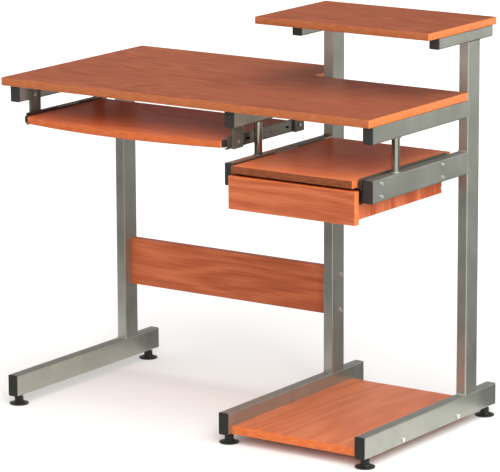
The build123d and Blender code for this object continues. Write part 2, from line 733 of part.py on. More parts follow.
fasteners("hanger_screws",
          [(facing_x(knee_left + hanger_steel, y, z, 1), hanger_steel + tube_wall) for y, z in hanger_screws]
          + [(facing_x(knee_right - hanger_steel, y, z, -1), hanger_steel + tube_wall) for y, z in hanger_screws]
          + [(facing_x(knee_left, y, tray_slide_z, -1), hanger_depth + slide_steel) for y in hanger_y]
          + [(facing_x(knee_right, y, tray_slide_z, 1), hanger_depth + slide_steel) for y in hanger_y],
          head_radius=3.8, head_height=2.2, shank_radius=slide_bolt_radius, socket_radius=1.7)


def slide_screws(faces, z, screw_y, reach):
    """Places of the screws from the inner members into the moving boards."""
    web = slide_depth - slide_steel
    return [(facing_x(face + inward * web, y, z, -inward), slide_steel + reach)
            for face, inward in faces for y in screw_y]


fasteners("tray_screws", slide_screws(tray_faces, tray_slide_z, tray_screw_y, tray_screw_reach),
          head_radius=3.5, head_height=1.8, shank_radius=screw_radius, socket_radius=1.5)
fasteners("shelf_screws", slide_screws(bay_faces, shelf_slide_z, bay_screw_y, tray_screw_reach),
          head_radius=3.5, head_height=1.8, shank_radius=screw_radius, socket_radius=1.5)
corner_screws = [(facing_x(outer, side_back - drawer_side_thickness / 2, z, direction), corner_screw_length)
                 for outer, direction in ((drawer_left, -1), (drawer_right, 1)) for z in corner_screw_z]
fasteners("drawer_screws",
          slide_screws(bay_faces, drawer_slide_z, bay_screw_y, drawer_screw_reach) + corner_screws,
          head_radius=3.5, head_height=1.8, shank_radius=screw_radius, socket_radius=1.5)

# Barrel nuts lie across the board bolts, level with the board faces they were put in from.
with BuildPart() as barrel_nuts:
    nut_faces = [(knee_left + bolt_reach, panel_bolts), (knee_right - bolt_reach, panel_bolts)]
    for x, points in nut_faces:
        for y, z in points:
            with BuildSketch(Plane((x, panel_back, z), x_dir=(1, 0, 0), z_dir=(0, 1, 0))):
                Circle(nut_radius)
            extrude(amount=-nut_length)
    for x in (bay_left + bolt_reach, bay_right - bolt_reach):
        for y, _ in computer_bolts:
            with BuildSketch(facing_down(x, y, computer_shelf_bottom)):
                Circle(nut_radius)
            extrude(amount=-nut_length)
    for points in (panel_bolts, computer_bolts):
        with BuildSketch(Plane.YZ.offset(desk_left)):
            with Locations(*points):
                Circle(bolt_radius + fit_gap / 2)
        extrude(amount=desk_width, mode=Mode.SUBTRACT)
finish(barrel_nuts, "barrel_nuts")
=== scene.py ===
# %% [markdown]
# # A computer desk in laminate and powder-coated tube
#
# This lesson dresses a finished steel-and-board desk. The solids come in as a fixed frame, so nothing here
# decides a size. We add what a maker would add last: weld beads, edge bands, plastic slide stops and the
# finishes. Every length is in metres, and every place is worked out from the frame's own boxes.

import math

import bmesh
import bpy
import numpy as np
from mathutils import Matrix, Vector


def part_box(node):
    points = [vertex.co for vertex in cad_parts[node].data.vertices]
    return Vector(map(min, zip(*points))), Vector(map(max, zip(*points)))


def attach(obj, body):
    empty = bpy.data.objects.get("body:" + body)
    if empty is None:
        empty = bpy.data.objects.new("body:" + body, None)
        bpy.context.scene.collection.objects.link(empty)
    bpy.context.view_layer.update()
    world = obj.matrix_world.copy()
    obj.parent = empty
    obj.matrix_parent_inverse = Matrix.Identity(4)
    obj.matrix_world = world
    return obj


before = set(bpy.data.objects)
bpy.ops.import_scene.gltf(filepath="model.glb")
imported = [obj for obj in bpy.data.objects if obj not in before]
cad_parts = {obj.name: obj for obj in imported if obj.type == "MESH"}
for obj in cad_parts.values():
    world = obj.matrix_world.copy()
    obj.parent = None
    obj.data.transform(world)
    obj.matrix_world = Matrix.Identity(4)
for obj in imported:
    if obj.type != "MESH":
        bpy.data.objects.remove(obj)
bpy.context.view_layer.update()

# %% [markdown]
# ## Small helpers
#
# A colour picked on screen is an sRGB hex value, but a shader works in linear light, so one function turns
# the first into the second. A second function adds a shader node together with its settings and links, which
# keeps each recipe below as short as a shopping list.

# %% Colour and node helpers
MM = 0.001


def linear(hex_colour):
    """Linear RGBA from sRGB hex: c/12.92 near black, otherwise ((c + 0.055) / 1.055) to the power 2.4."""
    srgb = np.array([int(hex_colour[i:i + 2], 16) for i in (1, 3, 5)]) / 255
    light = np.where(srgb <= 0.04045, srgb / 12.92, ((srgb + 0.055) / 1.055) ** 2.4)
    return (*light.tolist(), 1.0)


def add(tree, kind, inputs=None, stops=(), **settings):
    """Add one node. Inputs maps a socket to a value, a hex colour or the output that feeds it. Stops are a
    colour ramp's (place, hex colour) pairs."""
    node = tree.nodes.new(kind)
    for name, value in settings.items():
        setattr(node, name, value)
    for key, value in (inputs or {}).items():
        if isinstance(value, bpy.types.NodeSocket):
            tree.links.new(value, node.inputs[key])
        else:
            node.inputs[key].default_value = linear(value) if isinstance(value, str) else value
    for index, (place, colour) in enumerate(stops):
        if index >= len(node.color_ramp.elements):
            node.color_ramp.elements.new(place)
        node.color_ramp.elements[index].position = place
        node.color_ramp.elements[index].color = linear(colour)
    return node


def new_finish(name, roughness, metallic=0.0, colour="#808080"):
    """A material with one Principled shader: (material, its node tree, the shader)."""
    material = bpy.data.materials.new(name)
    material.use_nodes = True
    tree = material.node_tree
    shader = tree.nodes["Principled BSDF"]
    shader.inputs["Base Color"].default_value = linear(colour)
    shader.inputs["Roughness"].default_value = roughness
    shader.inputs["Metallic"].default_value = metallic
    return material, tree, shader


print("mid grey is", [round(value, 3) for value in linear("#808080")])

# %% [markdown]
# ## Wood-grain laminate
#
# The boards are particle board under melamine paper printed as red cherry. Plain-sawn cherry shows its growth
# rings as long wandering contour lines, so the print is drawn the same way: a smooth noise field, stretched
# along the grain, is cut into even steps by a sine, as a map is cut by contour lines. Fine pores are a second
# noise, stretched much more, and a third lets the colour drift from one end to the other. A real pore is a
# quarter of a millimetre wide and can't be seen from across a room, so it is drawn about 2 mm wide.
#
# The melamine skin is satin: it mirrors a post standing on it, softly.

# %% Laminate recipe
PORE = (70 * MM, 2.2 * MM)
FIELD = (620 * MM, 110 * MM)
DRIFT = (500 * MM, 250 * MM)


def laminate(name, dark, middle, light, rings=16.0, figure=0.35, grain_turn=(0, 0, 0), roughness=0.3,
             gloss_level=0.35):
    """Printed melamine board. The grain runs along X, turned by grain_turn. Its colour is a ramp over
    pores x (1 - figure) + figure x half of (1 + sin(2 pi rings field)), darkened a little by the drift."""
    material, tree, shader = new_finish(name, roughness)
    place = add(tree, "ShaderNodeTexCoord").outputs["Object"]
    grain = add(tree, "ShaderNodeMapping", {"Vector": place, "Rotation": grain_turn}).outputs["Vector"]
    spots = {}
    for part, (length, width), detail in (("pores", PORE, 3.0), ("field", FIELD, 1.0), ("drift", DRIFT, 1.0)):
        scale = (1 / length, 1 / width, 1 / width)
        stretch = add(tree, "ShaderNodeMapping", {"Vector": grain, "Scale": scale}).outputs["Vector"]
        noise = add(tree, "ShaderNodeTexNoise", {"Vector": stretch, "Scale": 1.0, "Detail": detail})
        spots[part] = noise.outputs["Fac"]
    turns = add(tree, "ShaderNodeMath", {0: spots["field"], 1: 2 * math.pi * rings}, operation="MULTIPLY")
    wave = add(tree, "ShaderNodeMath", {0: turns.outputs[0]}, operation="SINE")
    lines = add(tree, "ShaderNodeMath", {0: wave.outputs[0], 1: 0.5 * figure, 2: 0.5 * figure},
                operation="MULTIPLY_ADD")
    tone = add(tree, "ShaderNodeMath", {0: spots["pores"], 1: 1 - figure, 2: lines.outputs[0]},
               operation="MULTIPLY_ADD")
    colour = add(tree, "ShaderNodeValToRGB", {"Fac": tone.outputs[0]},
                 stops=[(0.3, dark), (0.5, middle), (0.7, light)]).outputs["Color"]
    depth = add(tree, "ShaderNodeMath", {0: spots["drift"], 1: 0.3}, operation="MULTIPLY").outputs[0]
    shaded = add(tree, "ShaderNodeMix", {0: depth, 6: colour, 7: "#9c5a44"}, data_type="RGBA",
                 blend_type="MULTIPLY").outputs[2]
    tree.links.new(shaded, shader.inputs["Base Color"])
    gloss = add(tree, "ShaderNodeMapRange", {"Value": spots["pores"], "To Min": roughness - 0.05,
                                             "To Max": roughness + 0.07})
    tree.links.new(gloss.outputs["Result"], shader.inputs["Roughness"])
    relief = add(tree, "ShaderNodeBump", {"Height": spots["pores"], "Strength": 0.1, "Distance": 0.2 * MM})
    tree.links.new(relief.outputs["Normal"], shader.inputs["Normal"])
    shader.inputs["Specular IOR Level"].default_value = gloss_level
    return material


worktop = laminate("cherry_laminate_worktop", "#964a2c", "#a95938", "#b86844", figure=0.2)
upright = laminate("cherry_laminate_upright", "#a5522f", "#b6603a", "#c67048", rings=9.0, figure=0.22)
low_shelf = laminate("cherry_laminate_low_shelf", "#c66840", "#d87748", "#e68758", rings=8.0, figure=0.18,
                     grain_turn=(0, 0, math.pi / 2))
# The keyboard tray and the accessory shelf are painted brighter than the worktop's print, to make up for the
# shade under the desktop: painted light.
shade_brightened_tray_board = laminate("cherry_laminate_tray_brightened_for_shade", "#cf6436", "#e67644", "#f58a56", figure=0.15, gloss_level=0.1)
shade_brightened_shelf_board = laminate("cherry_laminate_accessory_shelf_brightened_for_shade", "#e2733f", "#f2834c", "#fb945c", figure=0.15,
                       gloss_level=0.2)
drawer_board = laminate("cherry_laminate_drawer_side", "#b04a22", "#d2683a", "#f08a58", rings=7.0, figure=0.2,
                        grain_turn=(0, math.pi / 2, 0))
print("laminates: 6")

# %% [markdown]
# ## Edge tape
#
# Sawn edges of particle board are hidden under a printed plastic strip. It comes off a different roll from
# the top's paper, with fine streaks that run across the strip. The strip pieces carry a UV map in metres,
# along and up, so the streaks follow a corner round. Where the strip faces sideways the recipe paints it
# brighter than where it faces front or back: painted light, taken from the lit right-hand edges.

# %% Tape recipe
STREAK = (1.6 * MM, 14 * MM)
TAPE_FLECK = (22 * MM, 2.0 * MM)


def tape(name, lit_side_dark, lit_side_light, front_dark, front_light, roughness=0.32):
    """Edge strip: where it faces along X, streaks across it in brighter colours that are painted light;
    flecks along it elsewhere.
    """
    material, tree, shader = new_finish(name, roughness)
    run = add(tree, "ShaderNodeUVMap", uv_map="run").outputs["UV"]
    colours = []
    for (length, width), dark, light in ((STREAK, lit_side_dark, lit_side_light),
                                         (TAPE_FLECK, front_dark, front_light)):
        stretch = add(tree, "ShaderNodeMapping", {"Vector": run, "Scale": (1 / length, 1 / width, 1.0)})
        spots = add(tree, "ShaderNodeTexNoise", {"Vector": stretch.outputs["Vector"], "Scale": 1.0,
                                                 "Detail": 3.0})
        colours.append(add(tree, "ShaderNodeValToRGB", {"Fac": spots.outputs["Fac"]},
                           stops=[(0.35, dark), (0.65, light)]).outputs["Color"])
    # Strips that face along X take the brighter colours, painted light for the lit side edges.
    facing = add(tree, "ShaderNodeSeparateXYZ", {0: add(tree, "ShaderNodeNewGeometry").outputs["Normal"]})
    sideways = add(tree, "ShaderNodeMath", {0: facing.outputs[0]}, operation="ABSOLUTE").outputs[0]
    painted_lit_side = add(tree, "ShaderNodeMath", {0: sideways, 1: 0.6}, operation="GREATER_THAN").outputs[0]
    mixed = add(tree, "ShaderNodeMix", {0: painted_lit_side, 6: colours[1], 7: colours[0]},
                data_type="RGBA").outputs[2]
    tree.links.new(mixed, shader.inputs["Base Color"])
    shader.inputs["Specular IOR Level"].default_value = 0.2
    relief = add(tree, "ShaderNodeBump", {"Height": spots.outputs["Fac"],
                                            "Strength": 0.08, "Distance": 0.1 * MM})
    tree.links.new(relief.outputs["Normal"], shader.inputs["Normal"])
    return material


# Each tape's first two colours are the brighter ones painted on sideways strips as painted light.
worktop_tape = tape("cherry_tape_worktop", "#cf6a33", "#e5884f", "#96502c", "#ac643c")
bright_tape = tape("cherry_tape_bright", "#cf6a33", "#e5884f", "#bf5c2d", "#d37442")
# The tray's front strip is painted brighter than its own colour, to make up for the shade it sits in: painted
# light.
shade_brightened_tray_tape = tape("cherry_tape_tray_brightened_for_shade", "#cf6a33", "#e5884f", "#a84e26", "#bf6638")
shelf_tape = tape("cherry_tape_shelf", "#cf6a33", "#e5884f", "#6c351d", "#84482a")
print("tapes: 4")

# %% [markdown]
# ## Powder-coated tube
#
# The frame is electric-welded tube under a warm silver powder coat: metal flakes in a clear binder. Sprayed
# powder melts into a very shallow orange peel about 2 mm from crest to crest, and the flakes give a sparkle
# finer than a render shows, so only a faint mottling of the colour stands for them.

# %% Powder coat recipe
PEEL = 2.0 * MM
FLAKE = 0.8 * MM
CLOUD = 70 * MM


def powder_coat(name, dark, light, metallic, roughness):
    """Metallic powder coat with an orange peel. Its mottle is the mean of a flake noise and a cloud noise."""
    material, tree, shader = new_finish(name, roughness, metallic)
    place = add(tree, "ShaderNodeTexCoord").outputs["Object"]
    spots = {}
    for size in (FLAKE, CLOUD, PEEL):
        noise = add(tree, "ShaderNodeTexNoise", {"Vector": place, "Scale": 1 / size, "Detail": 2.0})
        spots[size] = noise.outputs["Fac"]
    total = add(tree, "ShaderNodeMath", {0: spots[FLAKE], 1: spots[CLOUD]}, operation="ADD").outputs[0]
    mottle = add(tree, "ShaderNodeMath", {0: total, 1: 0.5}, operation="MULTIPLY").outputs[0]
    colour = add(tree, "ShaderNodeValToRGB", {"Fac": mottle}, stops=[(0.35, dark), (0.65, light)])
    tree.links.new(colour.outputs["Color"], shader.inputs["Base Color"])
    relief = add(tree, "ShaderNodeBump", {"Height": spots[PEEL], "Strength": 0.12, "Distance": 0.1 * MM})
    tree.links.new(relief.outputs["Normal"], shader.inputs["Normal"])
    gloss = add(tree, "ShaderNodeMapRange", {"Value": spots[CLOUD], "To Min": roughness - 0.04,
                                             "To Max": roughness + 0.05})
    tree.links.new(gloss.outputs["Result"], shader.inputs["Roughness"])
    return material


silver_coat = powder_coat("silver_powder_coat", "#a1a298", "#b9bab0", 0.82, 0.34)
# The tray hangers take a darker, less metallic copy of the silver coat: painted shade for the dark they sit
# in under the desktop.
shaded_hanger_coat = powder_coat("silver_powder_coat_painted_shade", "#6e6e64", "#85857a", 0.6, 0.4)
print("coats: 2")

# %% [markdown]
# ## Plated steel
#
# The struts are polished and chromed, the slides are rolled from zinc-plated strip, and the screws are
# bright zinc. A metal's colour is its reflection, so these recipes are mostly roughness: long rolling lines
# on the slides, a slight haze on the screws.

# %% Plated recipes
ROLLING_LINE = (0.6 * MM, 125 * MM)
HAZE = 5.5 * MM


def plated(name, colour, roughness, across=HAZE, along=HAZE):
    """Plated steel whose roughness and relief follow a noise, across on X and Z and along on Y."""
    material, tree, shader = new_finish(name, roughness, 1.0, colour)
    place = add(tree, "ShaderNodeTexCoord").outputs["Object"]
    stretch = add(tree, "ShaderNodeMapping", {"Vector": place, "Scale": (1 / across, 1 / along, 1 / across)})
    wear = add(tree, "ShaderNodeTexNoise", {"Vector": stretch.outputs["Vector"], "Scale": 1.0, "Detail": 3.0})
    gloss = add(tree, "ShaderNodeMapRange", {"Value": wear.outputs["Fac"], "To Min": roughness * 0.75,
                                             "To Max": roughness * 1.35})
    tree.links.new(gloss.outputs["Result"], shader.inputs["Roughness"])
    relief = add(tree, "ShaderNodeBump", {"Height": wear.outputs["Fac"],
                                            "Strength": 0.06, "Distance": 0.05 * MM})
    tree.links.new(relief.outputs["Normal"], shader.inputs["Normal"])
    return material


chrome = plated("polished_chrome", "#9c9d90", 0.12)
zinc_strip = plated("rolled_zinc_strip", "#8f8f85", 0.34, *ROLLING_LINE)
zinc_screw = plated("bright_zinc_screw", "#f2f2ee", 0.3)
print("platings: 3")

# %% [markdown]
# ## Moulded plastic, hardboard and dowels
#
# The tube caps and the levelling feet are black polyethylene and polypropylene. The mould is spark-eroded,
# which leaves a fine even grain, and handling polishes it a little in patches. The drawer's base is pressed
# wood fibre and its dowels are beech, both without any coat.

# %% Plastic and bare wood recipes
MOULD_GRAIN = 0.9 * MM
HANDLING = 16 * MM


def moulded(name, colour, roughness):
    """Moulded plastic: a fine eroded grain in relief and a patchy gloss."""
    material, tree, shader = new_finish(name, roughness, 0.0, colour)
    place = add(tree, "ShaderNodeTexCoord").outputs["Object"]
    grain = add(tree, "ShaderNodeTexNoise", {"Vector": place, "Scale": 1 / MOULD_GRAIN, "Detail": 2.0})
    patches = add(tree, "ShaderNodeTexNoise", {"Vector": place, "Scale": 1 / HANDLING, "Detail": 2.0})
    gloss = add(tree, "ShaderNodeMapRange", {"Value": patches.outputs["Fac"], "To Min": roughness - 0.08,
                                             "To Max": roughness + 0.08})
    tree.links.new(gloss.outputs["Result"], shader.inputs["Roughness"])
    relief = add(tree, "ShaderNodeBump", {"Height": grain.outputs["Fac"],
                                            "Strength": 0.2, "Distance": 0.1 * MM})
    tree.links.new(relief.outputs["Normal"], shader.inputs["Normal"])
    return material


def bare_wood(name, dark, light, length, width):
    """Unfinished wood or hardboard: one noise, length long on X and width wide, between two tones."""
    material, tree, shader = new_finish(name, 0.6)
    place = add(tree, "ShaderNodeTexCoord").outputs["Object"]
    stretch = add(tree, "ShaderNodeMapping", {"Vector": place, "Scale": (1 / length, 1 / width, 1 / width)})
    fibres = add(tree, "ShaderNodeTexNoise", {"Vector": stretch.outputs["Vector"], "Scale": 1.0,
                                              "Detail": 4.0})
    colour = add(tree, "ShaderNodeValToRGB", {"Fac": fibres.outputs["Fac"]},
                 stops=[(0.3, dark), (0.7, light)])
    tree.links.new(colour.outputs["Color"], shader.inputs["Base Color"])
    relief = add(tree, "ShaderNodeBump", {"Height": fibres.outputs["Fac"],
                                            "Strength": 0.2, "Distance": 0.1 * MM})
    tree.links.new(relief.outputs["Normal"], shader.inputs["Normal"])
    return material


cap_plastic = moulded("black_polyethylene_cap", "#2a2a27", 0.46)
foot_plastic = moulded("black_polypropylene_foot", "#1d1d1b", 0.38)
hardboard = bare_wood("brown_hardboard", "#6b4a33", "#84603f", 4 * MM, 2 * MM)
beech = bare_wood("beech_dowel", "#b58a5e", "#d0a878", 1.5 * MM, 12 * MM)
print("plastics: 2, woods: 2")

# %% [markdown]
# ## Dressing the frame's own pieces
#
# Most solids already have their true shape, so they only take a finish. A table of name endings keeps this
# in one place: the first ending that fits a node gives its finish.

# %% Give every node its finish
FINISHES = [
    ("_foot_beam", silver_coat), ("_post", silver_coat), ("_desk_beam", silver_coat),
    # The tray hangers take the darker copy of the silver coat, which is painted shade.
    ("_drawer_beam", silver_coat), ("_top_beam", silver_coat), ("tray_hangers", shaded_hanger_coat),
    ("struts", chrome), ("_caps", cap_plastic), ("_foot", foot_plastic),
    ("_slide", zinc_strip), ("_cages", zinc_strip),
    ("_bolts", zinc_screw), ("_screws", zinc_screw), ("_nuts", zinc_screw), ("_inserts", zinc_screw),
    # The accessory shelf and the keyboard tray take the laminates painted brighter against the desktop's
    # shade.
    ("desktop", worktop), ("top_shelf", worktop), ("accessory_shelf", shade_brightened_shelf_board),
    ("modesty_panel", upright), ("drawer_front", upright), ("drawer_left_side", drawer_board),
    ("drawer_right_side", drawer_board), ("drawer_back", drawer_board), ("computer_shelf", low_shelf),
    ("keyboard_tray", shade_brightened_tray_board), ("drawer_base", hardboard), ("drawer_dowels", beech),
]
for name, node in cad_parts.items():
    finish = next(material for ending, material in FINISHES if name.endswith(ending))
    node.data.materials.clear()
    node.data.materials.append(finish)
print("dressed", len(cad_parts), "nodes")

# %% [markdown]
# ## Surfaces from grids
#
# Every new piece is a closed skin over a grid of points. A row of the grid is one section, which closes on
# itself, and the sections follow each other along a path. The path may close too, as a ring does, or end in
# two flat caps. One function turns such a grid into a mesh that rides on a body.

# %% Grid to mesh
CREASE = math.radians(40)


def box_of(node):
    """Lowest and highest corner of a node as two arrays."""
    low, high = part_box(node)
    return np.array(low), np.array(high)


def skin(name, sections, material, body, ring=False):
    """Closed mesh over sections[row, column, xyz]. Quads join neighbours, and the faces point outwards."""
    rows, columns = sections.shape[:2]
    row, column = np.meshgrid(np.arange(rows if ring else rows - 1), np.arange(columns), indexing="ij")
    next_row, next_column = (row + 1) % rows, (column + 1) % columns
    quads = np.stack([row * columns + column, row * columns + next_column,
                      next_row * columns + next_column, next_row * columns + column], axis=-1)
    faces = quads.reshape(-1, 4).tolist()
    if not ring:
        faces += [list(range(columns)), list(range((rows - 1) * columns, rows * columns))]
    mesh = bpy.data.meshes.new(name)
    mesh.from_pydata(sections.reshape(-1, 3).tolist(), [], faces)
    shell = bmesh.new()
    shell.from_mesh(mesh)
    bmesh.ops.recalc_face_normals(shell, faces=shell.faces)
    shell.to_mesh(mesh)
    shell.free()
    mesh.polygons.foreach_set("use_smooth", np.ones(len(mesh.polygons), bool))
    mesh.set_sharp_from_angle(angle=CREASE)
    mesh.materials.append(material)
    piece = bpy.data.objects.new(name, mesh)
    bpy.context.scene.collection.objects.link(piece)
    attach(piece, body)
    return piece


# %% [markdown]
# ## Weld beads
#
# The tubes are welded where they meet. A bead is a quarter round that fills the corner between two faces,
# rippled where each drop of metal froze. A corner line and the two directions that leave it are enough to
# describe one, so straight beads and the rings round the struts come out of the same formula.

# %% Bead formula
BEAD_RADIUS = 2.6 * MM
RIPPLE = 2.5 * MM


def weld_bead(name, corner, first, second, ring=False):
    """Each section is the corner line and corner + r (cos t first + sin t second), where t turns a quarter.
    The radius r swells by a tenth once per ripple, and is almost nothing at a straight bead's ends."""
    step = np.linalg.norm(np.diff(corner, axis=0), axis=1)
    along = np.concatenate([[0.0], np.cumsum(step)])
    radius = BEAD_RADIUS * (1 + 0.1 * np.sin(2 * np.pi * along / RIPPLE))
    if not ring:
        radius[[0, -1]] *= 0.1
    turn = np.linspace(0, np.pi / 2, 5)[None, :, None]
    bulge = np.cos(turn) * first[:, None, :] + np.sin(turn) * second[:, None, :]
    line = corner[:, None, :]
    sections = np.concatenate([line + radius[:, None, None] * bulge, line], axis=1)
    return skin(name, sections, silver_coat, "frame", ring)


def straight_bead(name, x_low, x_high, y, z, y_way, z_way):
    """Bead along X in the corner between a face that looks along y_way and one that looks along z_way."""
    x = np.linspace(x_low, x_high, 41)
    corner = np.stack([x, np.full_like(x, y), np.full_like(x, z)], axis=1)
    first = np.tile([0.0, y_way, 0.0], (len(x), 1))
    second = np.tile([0.0, 0.0, z_way], (len(x), 1))
    return weld_bead(name, corner, first, second)


# %% Beads at the posts
END_INSET = 1.5 * MM
beads = []
for side in ("left", "middle", "right"):
    low, high = box_of(f"{side}_post")
    span = (low[0] + END_INSET, high[0] - END_INSET)
    beads.append(straight_bead(f"{side}_post_front_bead", *span, low[1], low[2], -1, 1))
    beads.append(straight_bead(f"{side}_post_back_bead", *span, high[1], low[2], 1, 1))
    beam_bottom = box_of(f"{side}_desk_beam")[0][2]
    beads.append(straight_bead(f"{side}_desk_beam_bead", *span, low[1], beam_bottom, -1, -1))
    if side != "left":
        drawer_low, drawer_high = box_of(f"{side}_drawer_beam")
        beads.append(straight_bead(f"{side}_drawer_beam_lower_bead", *span, low[1], drawer_low[2], -1, -1))
        beads.append(straight_bead(f"{side}_drawer_beam_upper_bead", *span, low[1], drawer_high[2], -1, 1))
        beads.append(straight_bead(f"{side}_top_beam_front_bead", *span, low[1], high[2], -1, -1))
        beads.append(straight_bead(f"{side}_top_beam_back_bead", *span, high[1], high[2], 1, -1))
print("straight beads:", len(beads))

# %% Rings round the struts
strut_low, strut_high = box_of("struts")
strut_radius = (strut_high[1] - strut_low[1]) / 2
strut_y = (strut_low[1] + strut_high[1]) / 2
angle = np.linspace(0, 2 * np.pi, 64, endpoint=False)
radial = np.stack([np.cos(angle), np.sin(angle), np.zeros_like(angle)], axis=1)
for side, strut_x in (("middle", strut_low[0] + strut_radius), ("right", strut_high[0] - strut_radius)):
    for end, z, way in (("lower", strut_low[2], 1.0), ("upper", strut_high[2], -1.0)):
        circle = np.array([strut_x, strut_y, z]) + strut_radius * radial
        upright_way = np.tile([0.0, 0.0, way], (len(angle), 1))
        weld_bead(f"{side}_strut_{end}_ring", circle, radial, upright_way, ring=True)
print("struts at y", round(strut_y, 4))

# %% [markdown]
# ## Edge bands
#
# A band is a small profile carried round the board's outline: at each point of the outline the profile is
# laid along the outward normal. The band stands a hair proud and its two arrises are scraped round. Its back
# is let into the board, so the skin is a closed solid. Distance along the outline and height over the board's
# face go into a UV map, which the tape's pattern reads.

# %% Outline and band functions
PROUD = 0.25 * MM
ARRIS = 1.4 * MM
LET_IN = 0.4 * MM


def rounded_outline(corners, radii, steps=7):
    """Closed anticlockwise outline with an arc at each corner: (points, outward normals). At a corner the
    normal turns evenly from one side's to the next. The point is the arc's centre plus r times the normal, or
    minus it where the outline turns inwards."""
    corners = np.array(corners, float)
    radii = np.array(radii, float)
    ahead = np.roll(corners, -1, axis=0) - corners
    ahead /= np.linalg.norm(ahead, axis=1)[:, None]
    behind = np.roll(ahead, 1, axis=0)
    bend = np.arctan2(behind[:, 0] * ahead[:, 1] - behind[:, 1] * ahead[:, 0], (behind * ahead).sum(axis=1))
    way = np.sign(bend)
    out_behind = np.stack([behind[:, 1], -behind[:, 0]], axis=1)
    out_ahead = np.stack([ahead[:, 1], -ahead[:, 0]], axis=1)
    centre = corners - (way * radii / (1 + np.cos(bend)))[:, None] * (out_behind + out_ahead)
    turn = bend[:, None] * np.linspace(0, 1, steps)[None, :]
    first, second = out_behind[:, None, 0], out_behind[:, None, 1]
    normals = np.stack([np.cos(turn) * first - np.sin(turn) * second,
                        np.sin(turn) * first + np.cos(turn) * second], axis=-1)
    points = centre[:, None, :] + (way * radii)[:, None, None] * normals
    return points.reshape(-1, 2), normals.reshape(-1, 2)


def edge_band(name, outline, normals, low, high, material, body, axes=np.eye(3), ring=True):
    """Band from height low to high. A section is two quarter-round arrises joined by a flat, and a back let
    into the board. Axes are the outline's two directions and the height's."""
    turn = np.linspace(0, np.pi / 2, 4)
    out = PROUD - ARRIS * (1 - np.sin(turn))
    lift = ARRIS * (1 - np.cos(turn)) - 0.05 * MM
    back = PROUD - ARRIS - LET_IN
    across = np.concatenate([[back], out, out[::-1], [back]])
    height = np.concatenate([[low + LET_IN], low + lift, (high - lift)[::-1], [high - LET_IN]])
    flat = outline[:, None, :] + normals[:, None, :] * across[None, :, None]
    tall = np.broadcast_to(height[None, :, None], (*flat.shape[:2], 1))
    sections = np.concatenate([flat, tall], axis=-1) @ np.array(axes, float)
    piece = skin(name, sections, material, body, ring)
    along = np.concatenate([[0.0], np.cumsum(np.linalg.norm(np.diff(outline, axis=0), axis=1))])
    run = np.stack([np.repeat(along, len(height)), np.tile(height, len(outline))], axis=1)
    corner_of = np.empty(len(piece.data.loops), int)
    piece.data.loops.foreach_get("vertex_index", corner_of)
    piece.data.uv_layers.new(name="run").data.foreach_set("uv", run[corner_of].ravel())
    return piece


# %% Bands of the desktop and the top shelf
WORK_CORNER = 4 * MM
STEP_INSET = 575 * MM
STEP_RADIUS = 25 * MM
STEP_GAP = 2 * MM
top_low, top_high = box_of("desktop")
step_x = top_low[0] + STEP_INSET
step_y = box_of("middle_post")[0][1] - STEP_GAP
stepped = [(top_low[0], top_low[1]), (top_high[0], top_low[1]), (top_high[0], step_y),
           (step_x, step_y), (step_x, top_high[1]), (top_low[0], top_high[1])]
sharp = 0.5 * MM
edge_band("desktop_band", *rounded_outline(stepped, [WORK_CORNER, WORK_CORNER, sharp, STEP_RADIUS,
                                                     WORK_CORNER, WORK_CORNER]),
          top_low[2], top_high[2], worktop_tape, "frame")
shelf_low, shelf_high = box_of("top_shelf")
oblong = [(shelf_low[0], shelf_low[1]), (shelf_high[0], shelf_low[1]),
          (shelf_high[0], shelf_high[1]), (shelf_low[0], shelf_high[1])]
edge_band("top_shelf_band", *rounded_outline(oblong, [WORK_CORNER] * 4), shelf_low[2], shelf_high[2],
          worktop_tape, "frame")
print("step in the desktop at x", round(step_x, 4), "y", round(step_y, 4))

# %% [markdown]
# The keyboard tray's front is one shallow bow from side to side. Three points fix the bow's circle, and the
# small rounding at each end is a circle that touches the bow from inside and the tray's straight side.

# %% Band of the keyboard tray
TRAY_BOW = 31 * MM
TRAY_CORNER = 6 * MM
tray_low, tray_high = box_of("keyboard_tray")
half_width = (tray_high[0] - tray_low[0]) / 2
tray_middle = (tray_low[0] + tray_high[0]) / 2
bow_radius = (half_width ** 2 + TRAY_BOW ** 2) / (2 * TRAY_BOW)
bow_centre = np.array([tray_middle, tray_low[1] + bow_radius])
corner_x = half_width - TRAY_CORNER
corner_y = bow_centre[1] - math.sqrt((bow_radius - TRAY_CORNER) ** 2 - corner_x ** 2)
bow_end = math.atan2(corner_x, bow_centre[1] - corner_y)
left_turn = np.linspace(-math.pi / 2, -bow_end, 8)
bow_turn = np.linspace(-bow_end, bow_end, 80)[1:-1]
turn = np.concatenate([left_turn, bow_turn, -left_turn[::-1]])
bow_normals = np.stack([np.sin(turn), -np.cos(turn)], axis=1)
centres = np.concatenate([np.tile([tray_middle - corner_x, corner_y], (8, 1)), np.tile(bow_centre, (78, 1)),
                          np.tile([tray_middle + corner_x, corner_y], (8, 1))])
reach = np.concatenate([np.full(8, TRAY_CORNER), np.full(78, bow_radius), np.full(8, TRAY_CORNER)])
edge_band("keyboard_tray_band", centres + reach[:, None] * bow_normals, bow_normals, tray_low[2],
          tray_high[2], shade_brightened_tray_tape, "keyboard_tray", ring=False)
print("bow radius", round(bow_radius, 3))

# %% Bands along straight fronts
END_GAP = 0.4 * MM
for node, material, body in (("accessory_shelf", shelf_tape, "accessory_shelf"),
                             ("computer_shelf", bright_tape, "frame")):
    low, high = box_of(node)
    x = np.linspace(low[0] + END_GAP, high[0] - END_GAP, 24)
    front = np.stack([x, np.full_like(x, low[1])], axis=1)
    edge_band(f"{node}_band", front, np.tile([0.0, -1.0], (len(x), 1)), low[2], high[2], material, body,
              ring=False)
    print(node, "front is", round(high[0] - low[0], 4), "long")

